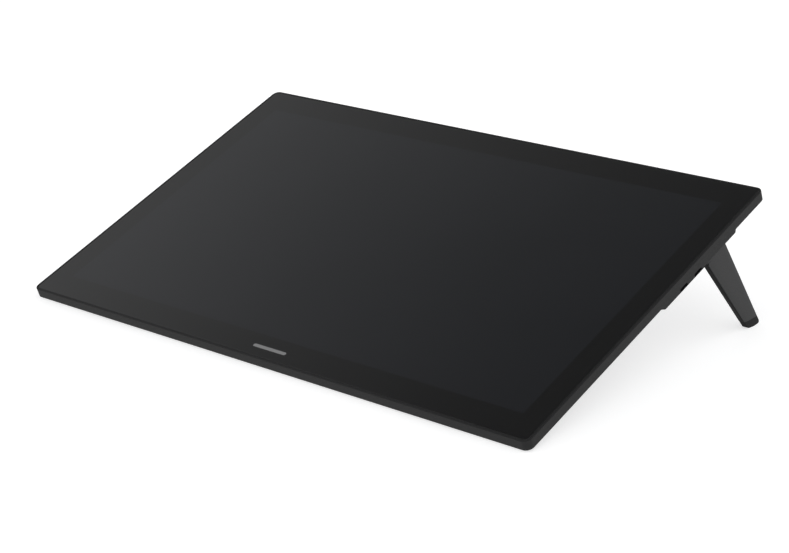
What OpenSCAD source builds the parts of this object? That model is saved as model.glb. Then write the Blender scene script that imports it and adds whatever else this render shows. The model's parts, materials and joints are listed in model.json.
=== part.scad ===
// Desktop pen display that stands on two fold-out legs.
// Panel frame: X to the right, Y from the front edge to the back edge, Z out of the glass,
// and Z = 0 on the flat back of the panel. placed() tilts that frame and stands it on the table,
// so that the part's own origin is at the middle of its footprint. Millimetres throughout.

/* [Panel] */
// Width of the body
body_w = 520; // [505:1:540]
// Depth of the body from its front edge to its back edge
body_d = 320; // [312:1:330]
// Thickness of the thin part of the body
body_t = 8; // [8:0.1:9]
// Radius of the four corners, seen from above
corner_r = 6; // [5:0.5:8]
// Rounding of the side wall's top edge
edge_r = 0.4; // [0.3:0.1:1]
// Thickness of the side wall
wall_t = 2; // [1.9:0.1:2.2]
// Angle of the glass to the table
tilt = 18.7; // [17:0.1:21]
// Thickness of the cover glass
glass_t = 1.1; // [0.8:0.1:1.1]
// Width of the picture
active_w = 476; // [460:1:478]
// Height of the picture
active_d = 268; // [258:1:270]

/* [Rear housing] */
// Depth of the housing behind the panel's back
hump_depth = 12; // [11:0.5:14]
// Wall thickness of the housing
hump_wall = 2; // [1.6:0.1:2.2]
// Height of the housing's upright side, flush with the side wall
lip = 3.3; // [3:0.1:4]
// Distance between VESA holes, both ways
vesa_pitch = 100; // [75:25:100]

/* [Legs] */
// Thickness of a leg
leg_t = 5.6; // [5.2:0.1:5.8]
// Width of the bevels along a leg's outer face
leg_bevel = 4.5; // [3:0.1:5]
// How far those bevels fall
bevel_fall = 0.6; // [0.4:0.1:0.8]
// Height of the rubber cap on a leg
cap_h = 7; // [6:0.5:9]
// Radius of a hinge pin
pin_r = 1.5; // [1.2:0.1:1.6]
// Radius of the leg's hinge barrel
barrel_r = 2.6; // [2.4:0.1:2.7]

/* [Ports and key] */
// Width of a port's cut-out
port_w = 10.2; // [9.6:0.1:11]
// Height of a port's cut-out
port_h = 3.1; // [2.8:0.1:3.1]
// Width of the power key
key_w = 12; // [8:0.5:14]
// Height of the power key
key_h = 3; // [2.4:0.1:3.2]

/* [Hidden] */

$fn = 64;
half_w = body_w / 2;
mid_y = body_d / 2;
slip = 0.01;           // how far a cutting tool runs past the face that it cuts
past = 1;              // the same, where the tool leaves the part altogether

// Layers of the display, from the glass down
bond_t = 0.2;
lcd_t = 1.2;
film_t = 0.45;
guide_t = 1.8;
reflector_t = 0.2;
tray_t = 0.35;
sensor_t = 0.7;
shield_t = 0.25;
back_t = 1.2;
glass_z = body_t - glass_t;
bond_z = glass_z - bond_t;
lcd_z = bond_z - lcd_t;
film_z = lcd_z - film_t;
guide_z = film_z - guide_t;
reflector_z = guide_z - reflector_t;
tray_z = reflector_z - tray_t;
sensor_z = tray_z - sensor_t;
shield_z = sensor_z - shield_t;

// Outlines of those layers
glass_gap = 0.2;
frame_gap = 0.3;
bond_margin = 2;
adhesive_inset = 1;
adhesive_r = 2;
adhesive_room = [6, 8];   // room inside the glue line for the display, in X and Y
lcd_w = active_w + 6;
lcd_d = active_d + 8;
tray_w = lcd_w + 4;
tray_d = lcd_d + 4;
tray_rim = 0.4;
tray_top_gap = 0.1;
frame_in_w = tray_w + 1;
frame_in_d = tray_d + 4;
sensor_w = active_w + 3;
sensor_d = active_d + 3;
ledge_w = sensor_w + 1;
ledge_d = sensor_d + 1;
led_step = 9.6;
led_count = 49;
led_size = [3, 2.2, 1.2];
led_bay = 2.4;            // room in front of the light guide for the LEDs
led_strip_t = 0.4;
cable_t = 0.2;
cable_z = back_t + 0.1;
cable_room = 1;           // room in the frame on each side of a flat cable
cable_front_y = mid_y - frame_in_d / 2 + 0.6;
tab_z = lcd_z + 0.3;
led_cable_top_z = guide_z + 1;

// Rear housing: a band across the back, deeper in the middle block, with a pocket for each leg
band_start = 169;
band_ramp = 18;
pocket_start = 229;
side_slope = 0.7;
block_half = 150;
block_start = 138;
block_end = 292;
block_ramp = 10;
block_side_ramp = 8;
fin_end = 275.8;
fin_ramp = 1.6;
fin_t = 1.2;
fin_foot_start = 268;
fin_foot_w = 20;
fin_h = 2.6;
port_cut_from = half_w - 11;
port_cut_len = 20;
vent_y = 190;
vent_len = 20;
vent_w = 2.2;
pad_places = [for (sx = [-1, 1], y = [166, 266]) [sx * 100, y]];
pad_w = 26;
pad_d = 8;
pad_t = 1.5;
vesa_y = 215;
vesa_hole_r = 2;
insert_r = 2.8;
insert_len = 6;
boss_r = 5;
boss_roof = 2;
housing_screws_at = [for (x = [-128, 0, 128], y = [158, 274]) [x, y]];
arm_screws_at = [[-205, 199], [205, 199]];
post_r = 4;
screw_r = 1.25;
screw_head_r = 2.3;
screw_head_t = 1.2;
counterbore_r = 2.6;
counterbore_depth = 2;
recess_len = 1.2;         // a screw's cross recess, as shares of its head's radius
recess_w = 0.25;
vent_count = 11;
vent_step = 6;

// Boards behind the panel
board_z = -3.4;
board_t = 1.2;
main_board_at = [-22, 174];
main_board_size = [150, 82];
driver_board_at = [-128, 180];
driver_board_size = [92, 68];
board_screw_r = 1;
board_head_r = 1.9;
board_head_t = 0.8;
spacer_r = 2.4;
main_screws_at = [for (x = [-17, 123], y = [179, 251]) [x, y]];
driver_screws_at = [for (x = [-123, -41], y = [185, 243]) [x, y]];
panel_cables_at = [30, 80];
panel_cable_w = 30;
panel_window_y = 180;
backlight_cable_x = -100;
backlight_cable_w = 6;
backlight_window_y = driver_board_at[1] + 6;
sensor_cable_at = [95, 232];
sensor_cable_w = 24;
shield_room = 2;
shell_room = 3;
window_room = [2, 4];     // room round a flat cable in the shell's window, in X and Y
key_cable_w = 5;
key_cable_y = 262;
key_cable_end = [110, 250];
socket_side = 1.5;        // a flat cable's connector: its side walls, depth and height
socket_d = 4;
flat_socket_h = 1;

// Parts soldered under the boards: the lowest corner in X and Y, then the size and the height
chip_h = 1.2;
main_parts = [
    [20, 205, 22, 22, chip_h],     // processor
    [58, 208, 14, 14, chip_h],     // memory
    [58, 230, 12, 8, chip_h],      // picture converter
    [-8, 210, 12, 10, chip_h],     // pen controller
    [90, 200, 10, 10, 2.6],        // power inductors
    [104, 200, 10, 10, 2.6],
    [118, 206, 8, 14, 3]           // socket for the port cable
];
small_parts_at = [-12, 190];
small_part = [3, 1.6, 0.8];
small_part_step = 6;
small_part_count = 6;
spreader_low = [12, 198];
spreader_high = [80, 242];
spreader_t = 0.8;
driver_parts = [
    [-110, 196, 12, 12, 4],        // two inductors
    [-92, 196, 12, 12, 4],
    [-70, 198, 8, 8, chip_h],      // LED driver
    [-70, 214, 16, 10, 1.5]        // connector for the main board
];
capacitors_at = [-108, 228];
capacitor_step = 12;
capacitor_count = 4;
capacitor_r = 4;
capacitor_h = 5;

// Ports in the right side
port_ys = [200.3, 220.2];
port_z = -1.65;
socket_w = 8.94;
socket_h = 3.2;
socket_wall = 0.3;
socket_mouth_x = half_w - 2.7;
socket_room = [0.4, 0.2]; // room round a socket in the housing's wall
socket_len = 7.3;
socket_floor = 1;
tongue_w = 6.6;
tongue_h = 0.7;
tongue_back = 0.8;
port_board_t = 0.8;
port_board_z = port_z - socket_h / 2 - port_board_t;
port_board_x = [half_w - 36, half_w - 8.5];
port_board_y = [190, 227];
port_plug = [5, 10, 1.2];
port_plug_y = 206;
port_cable_z = port_board_z - 0.6;
port_cable_x = 126;
port_cable_y = [207, 215];

// Power key in the back edge
key_x = 205;
key_z = 3.9;
key_gap = 0.15;
key_proud = 0.3;
key_flange_t = 0.8;
key_flange_w = key_w + 2;
key_flange_h = key_h + 1.4;
key_flange_gap = 0.1;
light_pipe_x = 219;
light_pipe_r = 1;
light_pipe_len = 3.2;
light_pipe_flange_r = 1.6;
light_pipe_flange_t = 0.8;
key_notch_x = key_x + 7;
key_notch_w = 40;
key_notch_d = 9;
key_channel_w = 8;
key_board_x = [key_x - 8, key_x + 18];
key_board_y = body_d - wall_t - 5.6;
key_board_z = [back_t + 0.1, bond_z - 0.3];
key_board_t = 0.8;
key_plug = [7, 0.8, 1.3];
key_led = [2, 0.8, 1.2];
switch_size = [6, 2.2, 3.6];
switch_tip_r = 0.9;
switch_tip_len = 1;

// Legs: hinge axes run along Y
leg_out = half_w - 0.5;
axis_x = half_w - 6;
axis_z = -3.2;
leg_in = leg_out - leg_t;
web_out_z = -1.6;
web_top = 1.8;            // corner of the web beside the barrel, from the hinge axis
barrel_y = [235, 256.5];
ear_gap = 0.7;
ear_t = 1.5;
ear_r = barrel_r - 0.1;
pin_slack = 0.05;
pin_end = 0.4;
pin_head_r = pin_r + 0.7;
pin_head_t = 0.8;
washer_t = 0.4;
washer_r = barrel_r - 0.2;
washer_gap = 0.1;
shoulder_z = -6.4;        // top of the leg's full thickness
cheek_top = -2.9;         // top of the thin outer part that covers the hinge
cheek_in = axis_x + barrel_r + 0.3;
leg_front_y = 232.3;      // the leg's front edge, carried up to Z = 0
leg_front_lean = 0.403;
leg_rear_y = 259.8;       // the leg's rear edge, carried up to Z = 0
leg_rear_lean = 0.266;
foot_round = 1.6;
toe_round = 5;            // front corner of the foot's full outline
tongue_t = 2.4;
tongue_len = 4.5;
tongue_inset = 5;
cap_seam = 0.001;
cap_past = 5;
bracket_in = half_w - 34;
bracket_out = axis_x - barrel_r - 0.6;
bracket_t = 1.2;
bracket_head_r = 1.8;
bracket_head_t = 0.6;
bracket_screws_at = [for (x = [half_w - 28, half_w - 17], y = [238.5, 252.5]) [x, y]];

// Front feet: rubber strips of circular section
strip_y = 6;
strip_w = 7;
strip_h = 3;
strip_len = 60;
strip_x = 170;
strip_r = (strip_w * strip_w / 4 + strip_h * strip_h) / (2 * strip_h);
strip_axis_z = strip_r - strip_h;

// The table, as a line in the panel frame: Z = table_z0 - Y * tan(tilt)
lift = strip_r - strip_y * sin(tilt) - strip_axis_z * cos(tilt);
table_z0 = -lift / cos(tilt);
slope_t = tan(tilt);
function table_z(y) = table_z0 - y * slope_t;
// Where a leg's edge, at y0 for Z = 0 and leaning by lean, meets the table raised by up
function edge_y(y0, lean, up) = (y0 - lean * (table_z0 + up)) / (1 - lean * slope_t);
cap_up = cap_h / cos(tilt);
foot_rear_y = edge_y(leg_rear_y, leg_rear_lean, 0);
foot_back = foot_rear_y * cos(tilt) - table_z(foot_rear_y) * sin(tilt);
nose = edge_r * cos(tilt) - (body_t - edge_r) * sin(tilt) - edge_r;
tail = max(body_d * cos(tilt), foot_back - foot_corner_cut());

// Stands the panel frame on the table, over the part's own origin
module placed() {
    translate([0, -(nose + tail) / 2, lift])
        rotate([tilt, 0, 0])
            children();
}

// How far the rounding takes the foot's rear corner in, along the table
function foot_corner_cut() =
    let (corner = 90 - tilt - atan(leg_rear_lean))
    foot_round / tan(corner / 2) - foot_round;

// A rectangle with round corners, centred on the panel
module outline(w, d, r) {
    translate([0, mid_y]) {
        square([w - 2 * r, d], center = true);
        square([w, d - 2 * r], center = true);
        for (sx = [-1, 1], sy = [-1, 1])
            translate([sx * (w / 2 - r), sy * (d / 2 - r)])
                circle(r);
    }
}

// A flat layer of the display
module layer(w, d, z, t, r = 0.5) {
    translate([0, 0, z])
        linear_extrude(t)
            outline(w, d, r);
}

// A box given by its lowest corner and its highest corner
module block(low, high) {
    translate(low)
        cube([for (i = [0:2]) high[i] - low[i]]);
}

// Sweeps a section round the body's outline. The section's X runs out from a corner's centre.
module round_body() {
    in_w = body_w - 2 * corner_r;
    in_d = body_d - 2 * corner_r;
    translate([0, mid_y, 0]) {
        for (turn = [0, 1, 2, 3]) {
            along = turn % 2 == 0 ? in_w : in_d;
            across = turn % 2 == 0 ? in_d : in_w;
            rotate([0, 0, 90 * turn]) {
                translate([-along / 2, -across / 2, 0])
                    rotate([90, 0, 90])
                        linear_extrude(along)
                            mirror([1, 0])
                                children();
                translate([along / 2, -across / 2, 0])
                    rotate([0, 0, -90])
                        rotate_extrude(angle = 90)
                            children();
            }
        }
    }
}

// Section of the side wall, with its rounded top edge
module wall_section() {
    square([corner_r - edge_r, body_t]);
    square([corner_r, body_t - edge_r]);
    translate([corner_r - edge_r, body_t - edge_r])
        circle(edge_r);
}

// The housing's section from front to back, set in by inset all round
function ramp_section(start, end, ramp_a, ramp_b, inset) =
    let (
        deep = hump_depth - inset,
        in_a = inset * sqrt(ramp_a * ramp_a + hump_depth * hump_depth) / hump_depth,
        in_b = inset * sqrt(ramp_b * ramp_b + hump_depth * hump_depth) / hump_depth
    )
    [
        [start + in_a, 0],
        [start + in_a + ramp_a * deep / hump_depth, -deep],
        [end - in_b - ramp_b * deep / hump_depth, -deep],
        [end - in_b, 0]
    ];

// The housing's section from side to side, set in by inset all round
function side_section(inset) =
    let (
        rise = inset * sqrt(1 + side_slope * side_slope),
        corner_z = -lip - inset * side_slope + rise,
        deep = hump_depth - inset,
        bottom_x = half_w - (deep + rise - lip) / side_slope
    )
    [
        [half_w - inset, 0], [half_w - inset, corner_z], [bottom_x, -deep],
        [-bottom_x, -deep], [-half_w + inset, corner_z], [-half_w + inset, 0]
    ];

// Extrudes a section drawn in Y and Z along X, over length, centred
module along_x(length) {
    translate([-length / 2, 0, 0])
        rotate([90, 0, 90])
            linear_extrude(length)
                children();
}

// Extrudes a section drawn in X and Z along Y, from y0 to y1
module along_y(y0, y1) {
    translate([0, y1, 0])
        rotate([90, 0, 0])
            linear_extrude(y1 - y0)
                children();
}

// The band and the middle block as one solid, set in by inset
module hump(inset) {
    intersection() {
        along_x(body_w)
            polygon(ramp_section(band_start, pocket_start + band_ramp, band_ramp, 0, inset));
        along_y(0, pocket_start - inset)
            polygon(side_section(inset));
    }
    intersection() {
        along_x(2 * block_half)
            polygon(ramp_section(block_start, block_end, block_ramp, block_ramp, inset));
        along_y(0, body_d)
            polygon(ramp_section(-block_half, block_half, block_side_ramp, block_side_ramp, inset));
    }
}

// The thin side wall that runs on past a leg's pocket, with the corner block that carries its end
module pocket_fin() {
    fin_section = [
        [pocket_start - hump_wall, 0], [pocket_start - hump_wall, -fin_h],
        [fin_end - fin_ramp, -fin_h], [fin_end, 0]
    ];
    foot_section = [
        [fin_foot_start, 0], [fin_foot_start, -fin_h], [fin_end - fin_ramp, -fin_h], [fin_end, 0]
    ];
    translate([half_w - fin_t / 2, 0, 0])
        along_x(fin_t)
            polygon(fin_section);
    translate([half_w - fin_foot_w / 2, 0, 0])
        along_x(fin_foot_w)
            polygon(foot_section);
}

// Holes of radius r at each place, from z0 to z1
module holes(places, r, z0, z1) {
    for (p = places)
        translate([p[0], p[1], z0])
            cylinder(r = r, h = z1 - z0);
}

vesa_places = [for (sx = [-1, 1], sy = [-1, 1])
    [sx * vesa_pitch / 2, vesa_y + sy * vesa_pitch / 2]];
shell_screws_at = concat(housing_screws_at, arm_screws_at);
board_screws_at = concat(main_screws_at, driver_screws_at);
both_bracket_screws_at = concat(bracket_screws_at, [for (p = bracket_screws_at) [-p[0], p[1]]]);

// A slot with round ends, w wide and h high, in X and Z
module key_slot(w, h) {
    square([w - h, h], center = true);
    for (s = [-1, 1])
        translate([s * (w - h) / 2, 0])
            circle(h / 2);
}

module cover_glass() {
    color([0.06, 0.06, 0.07])
        placed()
            layer(body_w - 2 * (wall_t + glass_gap), body_d - 2 * (wall_t + glass_gap),
                  glass_z, glass_t, corner_r - wall_t - glass_gap);
}

module glass_adhesive() {
    color([0.1, 0.1, 0.1])
        placed()
            difference() {
                layer(body_w - 2 * (wall_t + adhesive_inset), body_d - 2 * (wall_t + adhesive_inset),
                      bond_z, bond_t, adhesive_r);
                layer(lcd_w + adhesive_room[0], lcd_d + adhesive_room[1],
                      bond_z - slip, bond_t + 2 * slip);
            }
}

module bonding_layer() {
    color([0.8, 0.85, 0.9])
        placed()
            layer(active_w + 2 * bond_margin, active_d + 2 * bond_margin, bond_z, bond_t);
}

module lcd_panel() {
    color([0.12, 0.13, 0.16])
        placed()
            layer(lcd_w, lcd_d, lcd_z, lcd_t);
}

module optical_films() {
    color([0.9, 0.9, 0.88])
        placed()
            layer(lcd_w, lcd_d, film_z, film_t);
}

module light_guide() {
    color([0.8, 0.9, 0.95])
        placed()
            translate([0, led_bay / 2, 0])
                layer(lcd_w, lcd_d - led_bay, guide_z, guide_t);
}

module reflector_sheet() {
    color([0.97, 0.97, 0.97])
        placed()
            layer(lcd_w, lcd_d, reflector_z, reflector_t);
}

module led_strip() {
    color([0.9, 0.9, 0.85])
        placed()
            block([-active_w / 2, mid_y - lcd_d / 2 - led_strip_t, guide_z],
                  [active_w / 2, mid_y - lcd_d / 2, film_z]);
}

module leds() {
    led_y = mid_y - lcd_d / 2 + led_size[1] / 2;
    color([1, 0.95, 0.6])
        placed()
            for (i = [0:led_count - 1])
                translate([(i - (led_count - 1) / 2) * led_step, led_y, guide_z + guide_t / 2])
                    cube(led_size, center = true);
}

module backlight_tray() {
    color([0.7, 0.7, 0.72])
        placed()
            difference() {
                layer(tray_w, tray_d, tray_z, lcd_z - tray_z - tray_top_gap);
                layer(tray_w - 2 * tray_rim, tray_d - 2 * tray_rim, reflector_z, body_t);
            }
}

module pen_sensor_board() {
    color([0.1, 0.35, 0.2])
        placed()
            layer(sensor_w, sensor_d, sensor_z, sensor_t);
}

module shield_sheet() {
    color([0.6, 0.6, 0.62])
        placed()
            difference() {
                layer(sensor_w, sensor_d, shield_z, shield_t);
                sensor_window(shield_room, shield_z - slip, sensor_z + slip);
            }
}

// The opening for the pen sensor's flat cable, with room all round it, from z0 to z1
module sensor_window(room, z0, z1) {
    block([sensor_cable_at[0] - sensor_cable_w / 2 - room, sensor_cable_at[1] - room, z0],
          [sensor_cable_at[0] + sensor_cable_w / 2 + room, sensor_cable_at[1] + room, z1]);
}

module mid_frame() {
    color([0.15, 0.15, 0.16])
        placed()
            difference() {
                layer(body_w - 2 * (wall_t + frame_gap), body_d - 2 * (wall_t + frame_gap),
                      back_t, bond_z - back_t, corner_r - wall_t - frame_gap);
                layer(frame_in_w, frame_in_d, tray_z, body_t);
                layer(ledge_w, ledge_d, 0, body_t);
                block([key_notch_x - key_notch_w / 2, body_d - wall_t - key_notch_d, 0],
                      [key_notch_x + key_notch_w / 2, body_d, body_t]);
                block([key_x - key_channel_w / 2, mid_y + ledge_d / 2 - past, 0],
                      [key_x + key_channel_w / 2, body_d, tray_z]);
                for (x = panel_cables_at)
                    cable_gap(x, panel_cable_w);
                cable_gap(backlight_cable_x, backlight_cable_w);
            }
}

// Room in the frame's ledge for a flat cable that comes down from the display's front edge
module cable_gap(x, w) {
    block([x - w / 2 - cable_room, mid_y - frame_in_d / 2, 0],
          [x + w / 2 + cable_room, mid_y - ledge_d / 2 + past, tray_z + past]);
}

module rear_shell() {
    color([0.24, 0.24, 0.25])
        placed()
            difference() {
                union() {
                    round_body()
                        wall_section();
                    layer(body_w - 2 * corner_r, body_d - 2 * corner_r, 0, body_t, 0.1);
                }
                layer(body_w - 2 * wall_t, body_d - 2 * wall_t, back_t, body_t, corner_r - wall_t);
                holes(shell_screws_at, screw_r, -slip, back_t + slip);
                holes(both_bracket_screws_at, board_screw_r, -slip, back_t + slip);
                holes(board_screws_at, board_screw_r, -slip, back_t + slip);
                for (x = panel_cables_at)
                    shell_window(x, panel_window_y, panel_cable_w);
                shell_window(backlight_cable_x, backlight_window_y, backlight_cable_w);
                shell_window(key_cable_end[0], key_cable_end[1], key_cable_w);
                sensor_window(shell_room, -slip, back_t + slip);
                along_y(body_d - wall_t - past, body_d + past)
                    translate([key_x, key_z])
                        key_slot(key_w + 2 * key_gap, key_h + 2 * key_gap);
                along_y(body_d - wall_t - past, body_d + past)
                    translate([light_pipe_x, key_z])
                        circle(light_pipe_r);
            }
}

// Window in the shell's back for a flat cable w wide
module shell_window(x, y, w) {
    block([x - w / 2 - window_room[0], y - window_room[1], -slip],
          [x + w / 2 + window_room[0], y + window_room[1], back_t + slip]);
}

module rear_housing() {
    color([0.2, 0.2, 0.21])
        placed()
            difference() {
                union() {
                    difference() {
                        hump(0);
                        hump(hump_wall);
                    }
                    intersection() {
                        hump(0);
                        union() {
                            holes(shell_screws_at, post_r, -hump_depth, 0);
                            holes(vesa_places, boss_r, -hump_depth, -hump_depth + insert_len + boss_roof);
                        }
                    }
                    for (side = [0, 1])
                        mirror([side, 0, 0])
                            pocket_fin();
                }
                holes(shell_screws_at, screw_r, -hump_depth, slip);
                holes(shell_screws_at, counterbore_r, -hump_depth - slip,
                      -hump_depth + counterbore_depth);
                holes(vesa_places, insert_r, -hump_depth - slip, -hump_depth + insert_len);
                for (y = port_ys)
                    translate([port_cut_from, y, port_z])
                        rotate([90, 0, 90]) {
                            linear_extrude(port_cut_len)
                                key_slot(port_w, port_h);
                            linear_extrude(socket_mouth_x - port_cut_from + slip)
                                key_slot(socket_w + socket_room[0], socket_h + socket_room[1]);
                        }
                for (i = [0:vent_count - 1])
                    translate([(i - (vent_count - 1) / 2) * vent_step, vent_y, -hump_depth - slip])
                        linear_extrude(hump_wall + 2 * slip)
                            rotate([0, 0, 90])
                                translate([vent_len / 2, 0])
                                    key_slot(vent_len, vent_w);
            }
}

// A circuit board at its lowest corner, with holes for its screws
module board(at, size, screws) {
    difference() {
        block([at[0], at[1], board_z], [at[0] + size[0], at[1] + size[1], board_z + board_t]);
        holes(screws, board_screw_r, board_z - slip, board_z + board_t + slip);
    }
}

// Parts soldered under a board, each as its lowest corner, its size in X and Y and its height
module under_board(parts) {
    for (p = parts)
        block([p[0], p[1], board_z - p[4]], [p[0] + p[2], p[1] + p[3], board_z]);
}

// A connector on top of a board for a flat cable w wide that comes down at x, y
module cable_socket(x, y, w) {
    block([x - w / 2 - socket_side, y + cable_t / 2, board_z + board_t],
          [x + w / 2 + socket_side, y + socket_d, board_z + board_t + flat_socket_h]);
}

module main_board() {
    color([0.05, 0.3, 0.15])
        placed()
            board(main_board_at, main_board_size, main_screws_at);
}

module main_board_parts() {
    color([0.12, 0.12, 0.12])
        placed() {
            under_board(main_parts);
            under_board([for (i = [0:small_part_count - 1])
                concat([small_parts_at[0] + small_part_step * i, small_parts_at[1]], small_part)]);
            for (x = panel_cables_at)
                cable_socket(x, panel_window_y, panel_cable_w);
            cable_socket(sensor_cable_at[0], sensor_cable_at[1], sensor_cable_w);
            cable_socket(key_cable_end[0], key_cable_end[1], key_cable_w);
        }
}

module heat_spreader() {
    color([0.75, 0.75, 0.78])
        placed()
            block(concat(spreader_low, board_z - chip_h - spreader_t),
                  concat(spreader_high, board_z - chip_h));
}

module driver_board() {
    color([0.05, 0.3, 0.15])
        placed()
            board(driver_board_at, driver_board_size, driver_screws_at);
}

module driver_board_parts() {
    color([0.15, 0.15, 0.15])
        placed() {
            under_board(driver_parts);
            for (i = [0:capacitor_count - 1])
                translate([capacitors_at[0] + capacitor_step * i, capacitors_at[1],
                           board_z - capacitor_h])
                    cylinder(r = capacitor_r, h = capacitor_h);
            cable_socket(backlight_cable_x, backlight_window_y, backlight_cable_w);
        }
}

module port_board() {
    color([0.05, 0.3, 0.15])
        placed() {
            block([port_board_x[0], port_board_y[0], port_board_z],
                  [port_board_x[1], port_board_y[1], port_board_z + port_board_t]);
            translate([port_board_x[0], port_plug_y, port_board_z - port_plug[2]])
                cube(port_plug);
        }
}

// One USB-C socket: a metal shell with its tongue, opening along +X
module usb_c_socket() {
    rotate([90, 0, 90]) {
        difference() {
            linear_extrude(socket_len)
                key_slot(socket_w, socket_h);
            translate([0, 0, socket_floor])
                linear_extrude(socket_len)
                    key_slot(socket_w - 2 * socket_wall, socket_h - 2 * socket_wall);
        }
        translate([-tongue_w / 2, -tongue_h / 2, 0])
            cube([tongue_w, tongue_h, socket_len - tongue_back]);
    }
}

module usb_c_sockets() {
    color([0.6, 0.6, 0.62])
        placed()
            for (y = port_ys)
                translate([socket_mouth_x - socket_len, y, port_z])
                    usb_c_socket();
}

module board_spacers() {
    color([0.75, 0.6, 0.3])
        placed()
            difference() {
                holes(board_screws_at, spacer_r, board_z + board_t, 0);
                holes(board_screws_at, board_screw_r, board_z, slip);
            }
}

// A pan-head screw that points along +Z, with its head's top face at z
module screw(p, z, head_r, head_t, r, tip) {
    translate([p[0], p[1], z])
        difference() {
            union() {
                cylinder(r = head_r, h = head_t);
                cylinder(r = r, h = tip - z);
            }
            translate([0, 0, -slip]) {
                cube([head_r * recess_len, head_r * recess_w, head_t], center = true);
                cube([head_r * recess_w, head_r * recess_len, head_t], center = true);
            }
        }
}

module board_screws() {
    color([0.7, 0.7, 0.7])
        placed()
            for (p = board_screws_at)
                screw(p, board_z - board_head_t, board_head_r, board_head_t, board_screw_r, back_t);
}

// A flat cable w wide from the display's front edge, down from top_z, under the layers, and out
// through the shell's back at y_end
module flat_cable(x, w, y_end, top_z) {
    x0 = x - w / 2;
    x1 = x + w / 2;
    block([x0, cable_front_y, cable_z], [x1, cable_front_y + cable_t, top_z]);
    block([x0, cable_front_y, cable_z], [x1, y_end + cable_t / 2, cable_z + cable_t]);
    block([x0, y_end - cable_t / 2, board_z + board_t],
          [x1, y_end + cable_t / 2, cable_z + cable_t]);
}

module panel_cables() {
    color([0.85, 0.6, 0.2])
        placed()
            for (x = panel_cables_at) {
                flat_cable(x, panel_cable_w, panel_window_y, tab_z + cable_t);
                block([x - panel_cable_w / 2, cable_front_y, tab_z],
                      [x + panel_cable_w / 2, mid_y - lcd_d / 2, tab_z + cable_t]);
            }
}

module backlight_cable() {
    color([0.85, 0.6, 0.2])
        placed()
            flat_cable(backlight_cable_x, backlight_cable_w, backlight_window_y, led_cable_top_z);
}

module sensor_cable() {
    color([0.85, 0.6, 0.2])
        placed()
            block([sensor_cable_at[0] - sensor_cable_w / 2, sensor_cable_at[1] - cable_t / 2,
                   board_z + board_t],
                  [sensor_cable_at[0] + sensor_cable_w / 2, sensor_cable_at[1] + cable_t / 2,
                   sensor_z]);
}

module port_cable() {
    color([0.9, 0.9, 0.9])
        placed()
            block([port_cable_x, port_cable_y[0], port_cable_z],
                  [port_board_x[0], port_cable_y[1], port_cable_z + cable_t]);
}

module key_cable() {
    x0 = key_cable_end[0] - key_cable_w / 2;
    end_y = key_cable_end[1];
    far_y = key_cable_y + key_cable_w;
    color([0.85, 0.6, 0.2])
        placed() {
            block([key_x - key_cable_w / 2, key_cable_y, cable_z],
                  [key_x + key_cable_w / 2, key_board_y - key_plug[1], cable_z + cable_t]);
            block([x0, key_cable_y, cable_z], [key_x + key_cable_w / 2, far_y, cable_z + cable_t]);
            block([x0, end_y - cable_t / 2, cable_z], [x0 + key_cable_w, far_y, cable_z + cable_t]);
            block([x0, end_y - cable_t / 2, board_z + board_t],
                  [x0 + key_cable_w, end_y + cable_t / 2, cable_z + cable_t]);
        }
}

module key_board() {
    color([0.05, 0.3, 0.15])
        placed() {
            block([key_board_x[0], key_board_y, key_board_z[0]],
                  [key_board_x[1], key_board_y + key_board_t, key_board_z[1]]);
            translate([key_x - key_plug[0] / 2, key_board_y - key_plug[1], key_board_z[0]])
                cube(key_plug);
            translate([light_pipe_x - key_led[0] / 2, key_board_y + key_board_t,
                       key_z - key_led[2] / 2])
                cube(key_led);
        }
}

module key_switch() {
    base_y = key_board_y + key_board_t;
    tip_y = base_y + switch_size[1];
    color([0.6, 0.6, 0.6])
        placed() {
            translate([key_x - switch_size[0] / 2, base_y, key_z - switch_size[2] / 2])
                cube(switch_size);
            along_y(tip_y, tip_y + switch_tip_len)
                translate([key_x, key_z])
                    circle(switch_tip_r);
        }
}

module light_pipe() {
    color([0.9, 0.95, 1])
        placed() {
            along_y(body_d - wall_t - light_pipe_len, body_d)
                translate([light_pipe_x, key_z])
                    circle(light_pipe_r);
            along_y(body_d - wall_t - light_pipe_flange_t, body_d - wall_t)
                translate([light_pipe_x, key_z])
                    circle(light_pipe_flange_r);
        }
}

module power_key() {
    flange_y = body_d - wall_t - key_flange_gap;
    color([0.3, 0.3, 0.31])
        placed()
            translate([key_x, 0, key_z]) {
                along_y(flange_y - slip, body_d + key_proud)
                    key_slot(key_w, key_h);
                along_y(flange_y - key_flange_t, flange_y)
                    key_slot(key_flange_w, key_flange_h);
            }
}

module vesa_inserts() {
    color([0.8, 0.65, 0.3])
        placed()
            difference() {
                holes(vesa_places, insert_r, -hump_depth, -hump_depth + insert_len);
                holes(vesa_places, vesa_hole_r, -hump_depth - slip, -hump_depth + insert_len + slip);
            }
}

module housing_screws() {
    color([0.3, 0.3, 0.3])
        placed()
            for (p = shell_screws_at)
                screw(p, -hump_depth + counterbore_depth - screw_head_t, screw_head_r,
                      screw_head_t, screw_r, back_t);
}

module front_feet() {
    color([0.08, 0.08, 0.08])
        placed()
            intersection() {
                for (sx = [-1, 1])
                    translate([sx * strip_x - strip_len / 2, strip_y, strip_axis_z])
                        rotate([0, 90, 0])
                            cylinder(r = strip_r, h = strip_len);
                block([-half_w, 0, -2 * strip_h], [half_w, 2 * strip_y, 0]);
            }
}

module rear_pads() {
    color([0.08, 0.08, 0.08])
        placed()
            for (p = pad_places)
                translate([p[0], p[1], -hump_depth - pad_t])
                    linear_extrude(pad_t)
                        key_slot(pad_w, pad_d);
}

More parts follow.
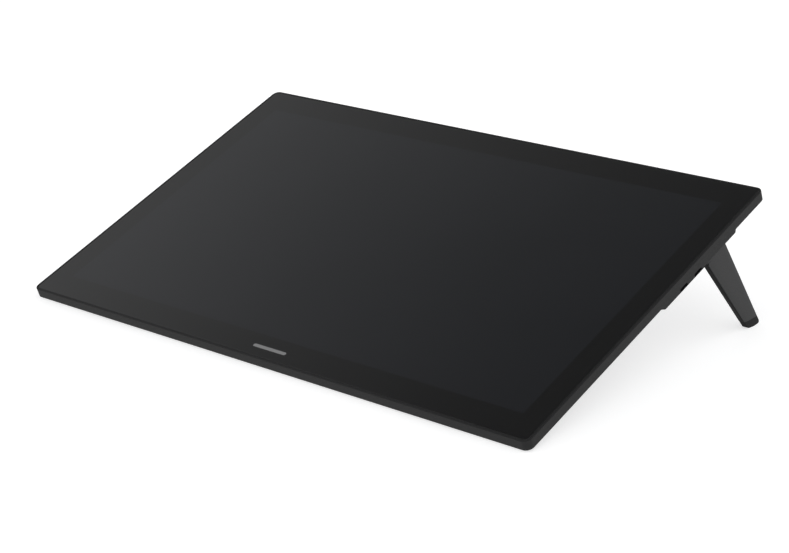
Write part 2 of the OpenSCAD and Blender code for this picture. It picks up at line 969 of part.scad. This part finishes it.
// A leg's outline, in Y and Z, from top_z down to up1 above the table, set in by inset at its
// front and rear edges
module leg_outline(top_z, up1, inset) {
    front_top = leg_front_y - leg_front_lean * top_z + inset;
    rear_top = leg_rear_y - leg_rear_lean * top_z - inset;
    front_low = edge_y(leg_front_y + inset, leg_front_lean, up1);
    rear_low = edge_y(leg_rear_y - inset, leg_rear_lean, up1);
    polygon([
        [front_top, top_z], [front_low, table_z(front_low) + up1],
        [rear_low, table_z(rear_low) + up1], [rear_top, top_z]
    ]);
}

// A thin slab of the leg's outline, x0 to x1 from the middle of the panel
module slab(x0, x1) {
    translate([x0, 0, 0])
        rotate([90, 0, 90])
            linear_extrude(x1 - x0)
                children();
}

// The leg's section across its hinge axis: the barrel and the web that runs down to the plate
module barrel_section() {
    web = [
        [leg_in - axis_x, shoulder_z - axis_z], [leg_out - axis_x, shoulder_z - axis_z],
        [leg_out - axis_x, web_out_z], [web_top, web_top], [leg_in - axis_x, 0]
    ];
    circle(barrel_r);
    polygon(web);
}

// A plate of the leg's outline from x0 out to the leg's face, bevelled along the face's edges
module leg_plate(x0, top_z) {
    hull() {
        slab(x0, leg_out - bevel_fall)
            leg_outline(top_z, cap_up, 0);
        slab(leg_out - bevel_fall, leg_out)
            leg_outline(top_z, cap_up, leg_bevel);
    }
}

// The right leg: a bevelled plate that is thinner where it covers the hinge, with a tongue for
// its cap and a barrel for its pin
module leg() {
    difference() {
        union() {
            leg_plate(leg_in, shoulder_z);
            leg_plate(cheek_in, cheek_top);
            slab(leg_in + (leg_t - tongue_t) / 2, leg_in + (leg_t + tongue_t) / 2)
                leg_outline(shoulder_z, cap_up - tongue_len, tongue_inset);
            translate([axis_x, 0, axis_z])
                along_y(barrel_y[0], barrel_y[1])
                    barrel_section();
        }
        translate([axis_x, 0, axis_z])
            along_y(barrel_y[0] - past, barrel_y[1] + past)
                circle(pin_r + pin_slack);
    }
}

// The right leg's rubber cap, cut to the table
module foot_cap() {
    difference() {
        hull() {
            slab(leg_in, leg_out - bevel_fall)
                cap_outline(0, toe_round);
            slab(leg_out - bevel_fall, leg_out)
                cap_outline(leg_bevel, foot_round);
        }
        slab(leg_in - past, leg_out + past)
            translate([0, cap_seam])
                leg_outline(shoulder_z, cap_up, -cap_past);
        slab(leg_in + (leg_t - tongue_t) / 2, leg_in + (leg_t + tongue_t) / 2)
            leg_outline(shoulder_z, cap_up - tongue_len, tongue_inset);
    }
}

// The cap's outline: the leg carried down to the table, with its two lower corners rounded
module cap_outline(inset, toe) {
    toe_up = toe / cos(tilt);
    toe_in = toe * sqrt(1 + pow(leg_front_lean, 2));
    heel_up = foot_round / cos(tilt);
    heel_in = foot_round * sqrt(1 + pow(leg_rear_lean, 2));
    toe_y = edge_y(leg_front_y + inset + toe_in, leg_front_lean, toe_up);
    heel_y = edge_y(leg_rear_y - inset - heel_in, leg_rear_lean, heel_up);
    band = [[0, cap_up], [body_d, cap_up], [body_d, 2 * heel_up], [0, 2 * heel_up]];
    hull() {
        intersection() {
            leg_outline(shoulder_z, 0, inset);
            polygon([for (p = band) [p[0], table_z(p[0]) + p[1]]]);
        }
        translate([toe_y, table_z(toe_y) + toe_up])
            circle(toe, $fn = 48);
        translate([heel_y, table_z(heel_y) + heel_up])
            circle(foot_round, $fn = 32);
    }
}

// The right hinge's bracket: a base plate with two ears that hold the pin
module hinge_bracket() {
    difference() {
        union() {
            block([bracket_in, barrel_y[0] - ear_gap - ear_t, -bracket_t],
                  [bracket_out, barrel_y[1] + ear_gap + ear_t, 0]);
            for (y = [barrel_y[0] - ear_gap - ear_t, barrel_y[1] + ear_gap]) {
                block([bracket_out - slip, y, -bracket_t], [axis_x, y + ear_t, 0]);
                block([axis_x - ear_r, y, axis_z], [axis_x + ear_r, y + ear_t, 0]);
                translate([axis_x, 0, axis_z])
                    along_y(y, y + ear_t)
                        circle(ear_r);
            }
        }
        translate([axis_x, 0, axis_z])
            along_y(0, body_d)
                circle(pin_r);
        holes(bracket_screws_at, board_screw_r, -bracket_t - slip, slip);
    }
}

// A pin with a flat head at its rear end
module hinge_pin() {
    head_y = barrel_y[1] + ear_gap + ear_t;
    translate([axis_x, 0, axis_z]) {
        along_y(barrel_y[0] - ear_gap - ear_t - pin_end, head_y + pin_head_t)
            circle(pin_r);
        along_y(head_y, head_y + pin_head_t)
            circle(pin_head_r);
    }
}

module hinge_washers() {
    rear_y = barrel_y[1] + ear_gap - washer_gap - washer_t;
    translate([axis_x, 0, axis_z])
        for (y = [barrel_y[0] - ear_gap + washer_gap, rear_y])
            along_y(y, y + washer_t)
                difference() {
                    circle(washer_r);
                    circle(pin_r + pin_slack);
                }
}

// Mirrors a right-hand part for the left side
module left() {
    mirror([1, 0, 0])
        children();
}

module right_leg() { color([0.28, 0.28, 0.29]) placed() leg(); }
module left_leg() { color([0.28, 0.28, 0.29]) placed() left() leg(); }
module right_foot_cap() { color([0.1, 0.1, 0.1]) placed() foot_cap(); }
module left_foot_cap() { color([0.1, 0.1, 0.1]) placed() left() foot_cap(); }
module right_hinge_pin() { color([0.75, 0.75, 0.77]) placed() hinge_pin(); }
module left_hinge_pin() { color([0.75, 0.75, 0.77]) placed() left() hinge_pin(); }
module right_hinge_bracket() { color([0.5, 0.5, 0.52]) placed() hinge_bracket(); }
module left_hinge_bracket() { color([0.5, 0.5, 0.52]) placed() left() hinge_bracket(); }
module right_hinge_washers() { color([0.8, 0.8, 0.8]) placed() hinge_washers(); }
module left_hinge_washers() { color([0.8, 0.8, 0.8]) placed() left() hinge_washers(); }

module bracket_screws() {
    color([0.6, 0.6, 0.6])
        placed()
            for (p = both_bracket_screws_at)
                screw(p, -bracket_t - bracket_head_t, bracket_head_r, bracket_head_t,
                      board_screw_r, back_t);
}

cover_glass();
glass_adhesive();
bonding_layer();
lcd_panel();
optical_films();
light_guide();
reflector_sheet();
led_strip();
leds();
backlight_tray();
pen_sensor_board();
shield_sheet();
mid_frame();
rear_shell();
rear_housing();
main_board();
main_board_parts();
heat_spreader();
driver_board();
driver_board_parts();
port_board();
usb_c_sockets();
board_spacers();
board_screws();
panel_cables();
backlight_cable();
sensor_cable();
port_cable();
key_cable();
key_board();
key_switch();
light_pipe();
power_key();
vesa_inserts();
housing_screws();
front_feet();
rear_pads();
right_leg();
left_leg();
right_foot_cap();
left_foot_cap();
right_hinge_pin();
left_hinge_pin();
right_hinge_bracket();
left_hinge_bracket();
right_hinge_washers();
left_hinge_washers();
bracket_screws();
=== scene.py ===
import json
import math

import bmesh
import bpy
from mathutils import Matrix, Vector


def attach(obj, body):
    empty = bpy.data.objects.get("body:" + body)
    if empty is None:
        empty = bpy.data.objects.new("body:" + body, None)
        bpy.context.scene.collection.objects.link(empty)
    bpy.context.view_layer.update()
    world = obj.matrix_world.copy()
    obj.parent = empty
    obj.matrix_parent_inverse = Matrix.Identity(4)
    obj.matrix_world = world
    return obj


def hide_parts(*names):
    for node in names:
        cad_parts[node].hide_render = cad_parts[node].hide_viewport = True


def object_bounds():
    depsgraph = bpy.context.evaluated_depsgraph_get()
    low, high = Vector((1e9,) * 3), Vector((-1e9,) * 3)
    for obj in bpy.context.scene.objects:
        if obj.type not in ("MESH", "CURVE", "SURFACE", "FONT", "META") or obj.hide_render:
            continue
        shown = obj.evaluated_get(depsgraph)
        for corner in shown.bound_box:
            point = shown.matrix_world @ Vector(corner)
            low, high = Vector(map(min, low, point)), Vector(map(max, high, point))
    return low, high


MM = 0.001
EDGE_WEIGHT = "bevel_weight_edge"  # the name that Blender's bevel reads an edge's weight from

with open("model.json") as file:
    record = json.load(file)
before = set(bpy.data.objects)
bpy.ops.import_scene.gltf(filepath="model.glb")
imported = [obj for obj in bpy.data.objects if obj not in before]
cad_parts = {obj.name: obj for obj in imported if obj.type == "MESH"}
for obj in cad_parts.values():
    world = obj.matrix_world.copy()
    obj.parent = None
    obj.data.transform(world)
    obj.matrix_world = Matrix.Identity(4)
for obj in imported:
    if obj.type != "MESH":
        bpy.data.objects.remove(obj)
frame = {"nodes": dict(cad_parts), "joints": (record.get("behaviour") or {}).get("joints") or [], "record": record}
cad_low, cad_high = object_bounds()
nodes = frame["nodes"]
joints = {joint["name"]: joint for joint in frame["joints"]}

# The leg hinges run up the panel, so their axis gives the panel's tilt. Pieces on the panel are made
# in a frame turned back by that tilt, in which the glass is level, and TILT turns them into place.
hinge_axis = Vector(joints["right_leg_fold"]["axis"])
tilt = math.atan2(hinge_axis.z, hinge_axis.y)
TILT = Matrix.Rotation(tilt, 4, "X")
LEVEL = TILT.inverted()


def level_box(node):
    """A CAD node's lowest and highest corners in the level frame."""
    points = [LEVEL @ vertex.co for vertex in nodes[node].data.vertices]
    low = Vector([min(point[i] for point in points) for i in range(3)])
    high = Vector([max(point[i] for point in points) for i in range(3)])
    return low, high


# ---------------------------------------------------------------- camera and lights

def make_camera():
    """The camera stands to the right of the front edge and looks down across the glass."""
    place = Vector((1.0321, -1.1595, 0.5987))
    look = Vector((-0.6207, 0.7042, -0.3449))
    up = Vector((-0.2008, 0.2824, 0.9381))
    data = bpy.data.cameras.new("camera")
    data.sensor_width = 36
    data.lens = 93.02
    camera = bpy.data.objects.new("camera", data)
    bpy.context.scene.collection.objects.link(camera)
    right = look.cross(up).normalized()
    up = right.cross(look).normalized()
    turn = Matrix((right, up, -look.normalized())).transposed().to_4x4()
    camera.matrix_world = Matrix.Translation(place) @ turn
    bpy.context.scene.camera = camera


def make_world():
    """White all round, with a dark flag high at the back left, which the glass mirrors. The flag is
    black out to inner from its middle, and has faded to white at outer."""
    azimuth, height = math.radians(136.4), math.radians(62.8)
    inner, outer = math.radians(19.3), math.radians(37.4)
    white, strength = (0.985, 0.99, 1.0, 1), 1.05
    flag = Vector((math.cos(height) * math.cos(azimuth), math.cos(height) * math.sin(azimuth),
                   math.sin(height)))
    world = bpy.data.worlds.new("studio")
    world.use_nodes = True
    tree = world.node_tree
    direction = tree.nodes.new("ShaderNodeTexCoord")
    towards = tree.nodes.new("ShaderNodeVectorMath")
    towards.operation = "DOT_PRODUCT"
    towards.inputs[1].default_value = flag
    angle = tree.nodes.new("ShaderNodeMath")
    angle.operation = "ARCCOSINE"
    shade = tree.nodes.new("ShaderNodeMapRange")
    shade.inputs["From Min"].default_value = inner
    shade.inputs["From Max"].default_value = outer
    shade.inputs["To Min"].default_value = 0.0
    shade.inputs["To Max"].default_value = strength
    back = tree.nodes["Background"]
    back.inputs["Color"].default_value = white
    tree.links.new(direction.outputs["Generated"], towards.inputs[0])
    tree.links.new(towards.outputs["Value"], angle.inputs[0])
    tree.links.new(angle.outputs["Value"], shade.inputs["Value"])
    tree.links.new(shade.outputs["Result"], back.inputs["Strength"])
    bpy.context.scene.world = world


def make_key_light():
    """A soft light from the right front, aimed at the middle of the part."""
    place, side, power = Vector((2.2, -1.6, 2.4)), 2.0, 8
    aim = (cad_low + cad_high) / 2
    data = bpy.data.lights.new("key", "AREA")
    data.shape = "RECTANGLE"
    data.size, data.size_y = side, side
    data.energy = power
    light = bpy.data.objects.new("key", data)
    light.location = place
    light.rotation_euler = (aim - place).to_track_quat("-Z", "Y").to_euler()
    bpy.context.scene.collection.objects.link(light)
    bpy.context.scene.view_settings.view_transform = "Standard"


# ---------------------------------------------------------------- materials

class Shader:
    """A node tree under construction, with the panel's level coordinates as its pattern space."""

    def __init__(self, name, shine=0.5):
        self.material = bpy.data.materials.new(name)
        self.material.use_nodes = True
        self.tree = self.material.node_tree
        self.bsdf = self.tree.nodes["Principled BSDF"]
        self.bsdf.inputs["Specular IOR Level"].default_value = shine
        coordinates = self.add("ShaderNodeTexCoord")
        level = self.add("ShaderNodeMapping")
        level.inputs["Rotation"].default_value = (-tilt, 0, 0)
        self.link(coordinates.outputs["Object"], level.inputs["Vector"])
        self.place = level.outputs["Vector"]

    def add(self, kind, **settings):
        node = self.tree.nodes.new(kind)
        for key, value in settings.items():
            setattr(node, key, value)
        return node

    def link(self, output, socket):
        self.tree.links.new(output, socket)

    def stretched(self, x, y, z):
        """The pattern space scaled by x, y and z."""
        node = self.add("ShaderNodeMapping")
        node.inputs["Scale"].default_value = (x, y, z)
        self.link(self.place, node.inputs["Vector"])
        return node.outputs["Vector"]

    def noise(self, size, detail=3, place=None):
        """Noise whose features are about size across, in metres."""
        node = self.add("ShaderNodeTexNoise")
        node.inputs["Scale"].default_value = 1 / size
        node.inputs["Detail"].default_value = detail
        node.inputs["Roughness"].default_value = 0.55
        self.link(place or self.place, node.inputs["Vector"])
        return node.outputs["Fac"]

    def cells(self, size):
        """Rounded cells about size across, in metres."""
        node = self.add("ShaderNodeTexVoronoi", feature="F1")
        node.inputs["Scale"].default_value = 1 / size
        self.link(self.place, node.inputs["Vector"])
        return node.outputs["Distance"]

    def math(self, operation, a, b=0.0):
        """The operation on a and b, each a number or an output."""
        node = self.add("ShaderNodeMath", operation=operation)
        for value, socket in zip((a, b), node.inputs):
            if isinstance(value, (int, float)):
                socket.default_value = value
            else:
                self.link(value, socket)
        return node.outputs["Value"]

    def remap(self, value, low, high, from_low=0.0, from_high=1.0):
        """The value stretched from its own range to low and high."""
        node = self.add("ShaderNodeMapRange")
        self.link(value, node.inputs["Value"])
        node.inputs["From Min"].default_value = from_low
        node.inputs["From Max"].default_value = from_high
        node.inputs["To Min"].default_value = low
        node.inputs["To Max"].default_value = high
        return node.outputs["Result"]

    def mix(self, factor, a, b):
        """A colour between a and b, each a colour or an output."""
        node = self.add("ShaderNodeMix", data_type="RGBA")
        self.link(factor, node.inputs["Factor"])
        for value, socket in ((a, node.inputs["A"]), (b, node.inputs["B"])):
            if isinstance(value, tuple):
                socket.default_value = (*value, 1)
            else:
                self.link(value, socket)
        return node.outputs["Result"]

    def colour(self, output):
        self.link(output, self.bsdf.inputs["Base Color"])

    def roughness(self, output):
        self.link(output, self.bsdf.inputs["Roughness"])

    def bump(self, height, depth):
        """Raises the surface by height, whose 0 to 1 is depth metres."""
        node = self.add("ShaderNodeBump")
        node.inputs["Distance"].default_value = depth
        self.link(height, node.inputs["Height"])
        self.link(node.outputs["Normal"], self.bsdf.inputs["Normal"])


def shades(colour, spread):
    """A darker and a lighter shade of a colour."""
    return tuple(c * (1 - spread) for c in colour), tuple(c * (1 + spread) for c in colour)


def moulded(name, colour, rough, grain, depth, spread=0.08, shine=0.5):
    """Fine-grained paint or moulded plastic: a fine pebble, with faint cloudy change over it."""
    s = Shader(name, shine)
    cloud = s.noise(60 * MM, detail=2)
    speck = s.noise(grain * 1.7, detail=2)
    dark, light = shades(colour, spread)
    tone = s.math("ADD", s.math("MULTIPLY", cloud, 0.5), s.math("MULTIPLY", speck, 0.5))
    s.colour(s.mix(tone, dark, light))
    s.roughness(s.remap(s.noise(grain * 3), rough - 0.06, rough + 0.06, 0.3, 0.7))
    pebble = s.math("ADD", s.cells(grain), s.math("MULTIPLY", s.noise(grain * 0.6), 0.5))
    s.bump(pebble, depth)
    return s.material


def rubber(name, colour):
    s = Shader(name, shine=0.2)
    dark, light = shades(colour, 0.15)
    s.colour(s.mix(s.noise(3 * MM), dark, light))
    s.roughness(s.remap(s.noise(1 * MM), 0.72, 0.9))
    s.bump(s.noise(0.4 * MM, detail=4), 0.05 * MM)
    return s.material


def brushed(name, colour, rough, across=(1, 30, 30)):
    """Metal with fine lines along one direction."""
    s = Shader(name)
    s.bsdf.inputs["Metallic"].default_value = 1
    lines = s.noise(6 * MM, detail=4, place=s.stretched(*across))
    dark, light = shades(colour, 0.1)
    s.colour(s.mix(lines, dark, light))
    s.roughness(s.remap(lines, rough - 0.08, rough + 0.1))
    s.bump(lines, 0.01 * MM)
    return s.material


def circuit_board(name):
    """Green solder mask with a faint net of tracks under it."""
    s = Shader(name)
    tracks = s.add("ShaderNodeTexBrick")
    tracks.inputs["Scale"].default_value = 1 / (8 * MM)
    tracks.inputs["Mortar Size"].default_value = 0.03
    s.link(s.place, tracks.inputs["Vector"])
    s.bsdf.inputs["Coat Weight"].default_value = 0.4
    net = s.mix(tracks.outputs["Fac"], (0.012, 0.10, 0.05), (0.03, 0.2, 0.1))
    s.colour(s.mix(s.remap(s.noise(4 * MM), 0, 0.3), net, (0.01, 0.07, 0.04)))
    s.roughness(s.remap(s.noise(2 * MM), 0.3, 0.45))
    s.bump(tracks.outputs["Fac"], 0.02 * MM)
    return s.material


def sheet(name, colour, rough, clear=0.0):
    """A smooth film, with faint waves."""
    s = Shader(name)
    s.bsdf.inputs["Transmission Weight"].default_value = clear
    dark, light = shades(colour, 0.03)
    s.colour(s.mix(s.noise(20 * MM), dark, light))
    s.roughness(s.remap(s.noise(5 * MM), rough - 0.04, rough + 0.04))
    s.bump(s.noise(15 * MM), 0.02 * MM)
    return s.material


def flex(name):
    """Amber flat cable with copper lines along it."""
    s = Shader(name)
    wave = s.add("ShaderNodeTexWave", bands_direction="X")
    wave.inputs["Scale"].default_value = 1 / (16 * MM)
    s.link(s.place, wave.inputs["Vector"])
    s.colour(s.mix(wave.outputs["Fac"], (0.42, 0.17, 0.03), (0.75, 0.42, 0.12)))
    s.roughness(s.remap(s.noise(2 * MM), 0.25, 0.4))
    s.bump(wave.outputs["Fac"], 0.02 * MM)
    return s.material


def etched_glass(name):
    """Anti-glare glass over a black printed border and the dark picture behind it. The border covers
    the edge of the bonding layer, and the picture's own edge is a little blurred."""
    s = Shader(name)
    covered, blur = 4.7 * MM, 0.3 * MM
    offset = Vector((0.6, -0.8, 0)) * MM
    low, high = level_box("bonding_layer")
    centre = (low + high) / 2 + offset
    picture_w, picture_d = high.x - low.x - covered, high.y - low.y - covered
    parts = s.add("ShaderNodeSeparateXYZ")
    s.link(s.place, parts.inputs["Vector"])

    def inside(output, middle, width):
        """1 within the width about the middle, and 0 outside."""
        far = s.math("ABSOLUTE", s.math("SUBTRACT", output, middle))
        return s.remap(far, 1, 0, width / 2 - blur, width / 2 + blur)

    picture = s.math("MULTIPLY", inside(parts.outputs["X"], centre.x, picture_w),
                     inside(parts.outputs["Y"], centre.y, picture_d))
    cloud = s.remap(s.noise(90 * MM, detail=1), 0, 1, 0.35, 0.65)
    border = s.mix(cloud, (0.0025, 0.0025, 0.0026), (0.0032, 0.0032, 0.0033))
    screen = s.mix(cloud, (0.0066, 0.0072, 0.0088), (0.0074, 0.0080, 0.0098))
    s.colour(s.mix(picture, border, screen))
    s.roughness(s.remap(s.noise(0.5 * MM, detail=2), 0.27, 0.33))
    s.bump(s.noise(0.22 * MM, detail=2), 0.004 * MM)
    return s.material


def floor_sheet(name):
    """A white sheet lit from behind, so that the part's shadow on it stays faint."""
    s = Shader(name)
    s.colour(s.mix(s.noise(400 * MM, detail=2), (0.54, 0.54, 0.54), (0.56, 0.56, 0.56)))
    s.roughness(s.remap(s.noise(30 * MM), 0.6, 0.7))
    s.bsdf.inputs["Emission Color"].default_value = (1, 1, 1, 1)
    s.bsdf.inputs["Emission Strength"].default_value = 0.62
    return s.material


def make_materials():
    grey = (0.0134, 0.0134, 0.0136)
    return {
        "etched_glass": etched_glass("etched_glass"),
        "mark": moulded("mark", (0.19, 0.19, 0.19), 0.45, 0.3 * MM, 0.005 * MM),
        "black_tape": moulded("black_tape", (0.02, 0.02, 0.02), 0.8, 0.5 * MM, 0.02 * MM),
        "clear_gel": sheet("clear_gel", (0.9, 0.92, 0.94), 0.1, clear=0.9),
        "lcd_glass": sheet("lcd_glass", (0.02, 0.022, 0.03), 0.12),
        "white_film": sheet("white_film", (0.85, 0.85, 0.83), 0.4),
        "clear_acrylic": sheet("clear_acrylic", (0.85, 0.9, 0.93), 0.12, clear=0.8),
        "cable_amber": flex("cable_amber"),
        "led_yellow": moulded("led_yellow", (0.8, 0.62, 0.16), 0.3, 0.3 * MM, 0.01 * MM),
        "aluminium_sheet": brushed("aluminium_sheet", (0.72, 0.72, 0.74), 0.4),
        "steel_plate": brushed("steel_plate", (0.5, 0.5, 0.52), 0.35),
        "brass": brushed("brass", (0.72, 0.52, 0.22), 0.3, across=(30, 30, 4)),
        "board_green": circuit_board("board_green"),
        "chip_black": moulded("chip_black", (0.018, 0.018, 0.02), 0.5, 0.25 * MM, 0.01 * MM),
        "frame_black": moulded("frame_black", (0.02, 0.02, 0.021), 0.55, 0.4 * MM, 0.02 * MM),
        "shell_grey": moulded("shell_grey", grey, 0.55, 0.35 * MM, 0.02 * MM, shine=0.15),
        "housing_grey": moulded("housing_grey", grey, 0.56, 0.45 * MM, 0.03 * MM, shine=0.15),
        "leg_grey": moulded("leg_grey", (0.030, 0.030, 0.0303), 0.55, 0.35 * MM, 0.02 * MM,
                            shine=0.15),
        # The next material is painted shade: a darker copy of the leg paint for the side faces of the legs and
        # their caps, standing in for the shadow they get under the panel.
        "leg_side_painted_shade": moulded("leg_side_painted_shade", (0.006, 0.006, 0.006), 0.7, 0.35 * MM, 0.02 * MM,
                            shine=0.1),
        "screw_black": brushed("screw_black", (0.09, 0.09, 0.095), 0.4),
        "rubber_black": rubber("rubber_black", (0.010, 0.010, 0.010)),
        "floor": floor_sheet("floor"),
    }


# ---------------------------------------------------------------- pieces

def new_object(name, mesh, material):
    piece = bpy.data.objects.new(name, mesh)
    bpy.context.scene.collection.objects.link(piece)
    mesh.materials.clear()
    mesh.materials.append(material)
    return piece


def apply_modifiers(piece):
    graph = bpy.context.evaluated_depsgraph_get()
    made = bpy.data.meshes.new_from_object(piece.evaluated_get(graph))
    piece.modifiers.clear()
    piece.data = made


def bevelled(piece, width, segments):
    """Rounds a piece's marked edges, or its sharp ones where none is marked, and shades it smoothly
    with its broad faces flat."""
    marked = EDGE_WEIGHT in piece.data.attributes
    bevel = piece.modifiers.new("bevel", "BEVEL")
    bevel.width = width
    bevel.segments = segments
    bevel.limit_method = "WEIGHT" if marked else "ANGLE"
    bevel.angle_limit = math.radians(40)
    bevel.use_clamp_overlap = not marked
    flat = piece.modifiers.new("flat", "WEIGHTED_NORMAL")
    flat.mode = "FACE_AREA"
    flat.weight = 80
    flat.keep_sharp = True
    for face in piece.data.polygons:
        face.use_smooth = True
    apply_modifiers(piece)


def arc_outline(low, high, radius):
    """The points of a rectangle with round corners, counter-clockwise."""
    steps = 10
    corners = [(high.x, low.y, -90), (high.x, high.y, 0), (low.x, high.y, 90), (low.x, low.y, 180)]
    points = []
    for x, y, start in corners:
        centre_x = x - math.copysign(radius, x - (low.x + high.x) / 2)
        centre_y = y - math.copysign(radius, y - (low.y + high.y) / 2)
        for step in range(steps + 1):
            angle = math.radians(start + 90 * step / steps)
            points.append((centre_x + radius * math.cos(angle), centre_y + radius * math.sin(angle)))
    return points


def plate(name, low, high, radius, bevel, material):
    """A flat plate with round corners and eased edges, made level and then tilted into place."""
    points = arc_outline(low, high, radius)
    bm = bmesh.new()
    base = bm.faces.new([bm.verts.new((x, y, low.z)) for x, y in points])
    raised = bmesh.ops.extrude_face_region(bm, geom=[base])
    for item in raised["geom"]:
        if isinstance(item, bmesh.types.BMVert):
            item.co.z = high.z
    bmesh.ops.recalc_face_normals(bm, faces=bm.faces)
    mesh = bpy.data.meshes.new(name)
    bm.to_mesh(mesh)
    bm.free()
    piece = new_object(name, mesh, material)
    bevelled(piece, bevel, 3)
    piece.data.transform(TILT)
    return piece


def softened(node, name, width, segments, material, body, side_shade_material=None):
    """A copy of a CAD node with its sharp edges rounded, which stands for that node. An edge stays
    sharp where the shell meets the housing, and where an edge that joins it is too short to give the
    rounding room. With a side material, faces that look along Y or Z take it; that darker material is
    painted shade, standing in for the shadow those faces get."""
    sharp_angle, flat_angle = math.radians(30), math.radians(1)
    same_place, near_seam = 0.005 * MM, 0.05 * MM
    room_needed = 1.05 * width
    seam = level_box("rear_shell")[0].z
    mesh = nodes[node].data.copy()
    bm = bmesh.new()
    bm.from_mesh(mesh)
    bmesh.ops.remove_doubles(bm, verts=bm.verts, dist=same_place)
    bmesh.ops.dissolve_limit(bm, angle_limit=flat_angle, verts=bm.verts, edges=bm.edges)
    weight = bm.edges.layers.float.new(EDGE_WEIGHT)
    room = {vert: min(edge.calc_length() for edge in vert.link_edges) for vert in bm.verts}
    for edge in bm.edges:
        at_seam = all(abs((LEVEL @ vert.co).z - seam) < near_seam for vert in edge.verts)
        sharp = len(edge.link_faces) == 2 and edge.calc_face_angle() > sharp_angle
        roomy = min(room[vert] for vert in edge.verts) > room_needed
        edge[weight] = 1.0 if sharp and roomy and not at_seam else 0.0
        edge.smooth = not sharp or edge[weight] > 0
    bm.to_mesh(mesh)
    bm.free()
    piece = new_object(name, mesh, material)
    # Painted shade: faces that look along Y or Z take the darker side material.
    if side_shade_material:
        mesh.materials.append(side_shade_material)
        for face in mesh.polygons:
            face.material_index = 1 if abs(face.normal.x) < 0.5 else 0
    bevelled(piece, width, segments)
    for vertex in piece.data.vertices:
        vertex.co.z = max(vertex.co.z, cad_low.z)
    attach(piece, body)
    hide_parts(node)


def make_glass(materials):
    corner, ease = 3.8 * MM, 0.25 * MM
    low, high = level_box("cover_glass")
    glass = plate("glass_face", low, high, corner, ease, materials["etched_glass"])
    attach(glass, "chassis")
    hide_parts("cover_glass")


def make_mark(materials):
    """A plain printed bar in the middle of the lower border, with round ends."""
    length, height, proud, ease = 34 * MM, 3.2 * MM, 0.02 * MM, 0.01 * MM
    low, high = level_box("cover_glass")
    middle_x, middle_y = 4.5 * MM, low.y + 10.5 * MM
    bar_low = Vector((middle_x - length / 2, middle_y - height / 2, high.z - proud))
    bar_high = Vector((middle_x + length / 2, middle_y + height / 2, high.z + proud))
    mark = plate("border_mark", bar_low, bar_high, height * 0.49, ease, materials["mark"])
    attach(mark, "chassis")


def make_casing(materials):
    """The outer pieces, with their edges rounded. The legs and their caps have painted shade at the
    sides: their side faces take a darker material that stands in for the shadow under the panel.
    """
    rubber_black, side_shade = materials["rubber_black"], materials["leg_side_painted_shade"]
    softened("rear_shell", "shell_cover", 0.12 * MM, 2, materials["shell_grey"], "chassis")
    softened("rear_housing", "housing_cover", 0.3 * MM, 2, materials["housing_grey"], "chassis")
    softened("front_feet", "front_foot_strips", 0.25 * MM, 2, rubber_black, "chassis")
    softened("rear_pads", "rear_pad_strips", 0.4 * MM, 3, rubber_black, "chassis")
    softened("power_key", "power_key_cap", 0.2 * MM, 2, materials["frame_black"], "power_key")
    for leg in ("right_leg", "left_leg"):
        foot = leg.replace("leg", "foot")
        softened(leg, f"{leg}_plate", 0.2 * MM, 3, materials["leg_grey"], leg, side_shade)
        softened(f"{foot}_cap", f"{foot}_rubber", 0.2 * MM, 2, rubber_black, leg, side_shade)


def make_floor(materials):
    half_side, squares = 12.0, 24
    bm = bmesh.new()
    bmesh.ops.create_grid(bm, x_segments=squares, y_segments=squares, size=half_side)
    mesh = bpy.data.meshes.new("floor")
    bm.to_mesh(mesh)
    bm.free()
    floor = new_object("floor", mesh, materials["floor"])
    floor.location.z = cad_low.z


def dress_cad_nodes(materials):
    """Gives each CAD node that still shows the material of its slot."""
    for part in frame["record"]["subparts"]:
        node = nodes[part["node"]]
        node.data.materials.clear()
        node.data.materials.append(materials[part["material_slot"]])


make_camera()
make_world()
make_key_light()
materials = make_materials()
dress_cad_nodes(materials)
make_glass(materials)
make_mark(materials)
make_casing(materials)
make_floor(materials)
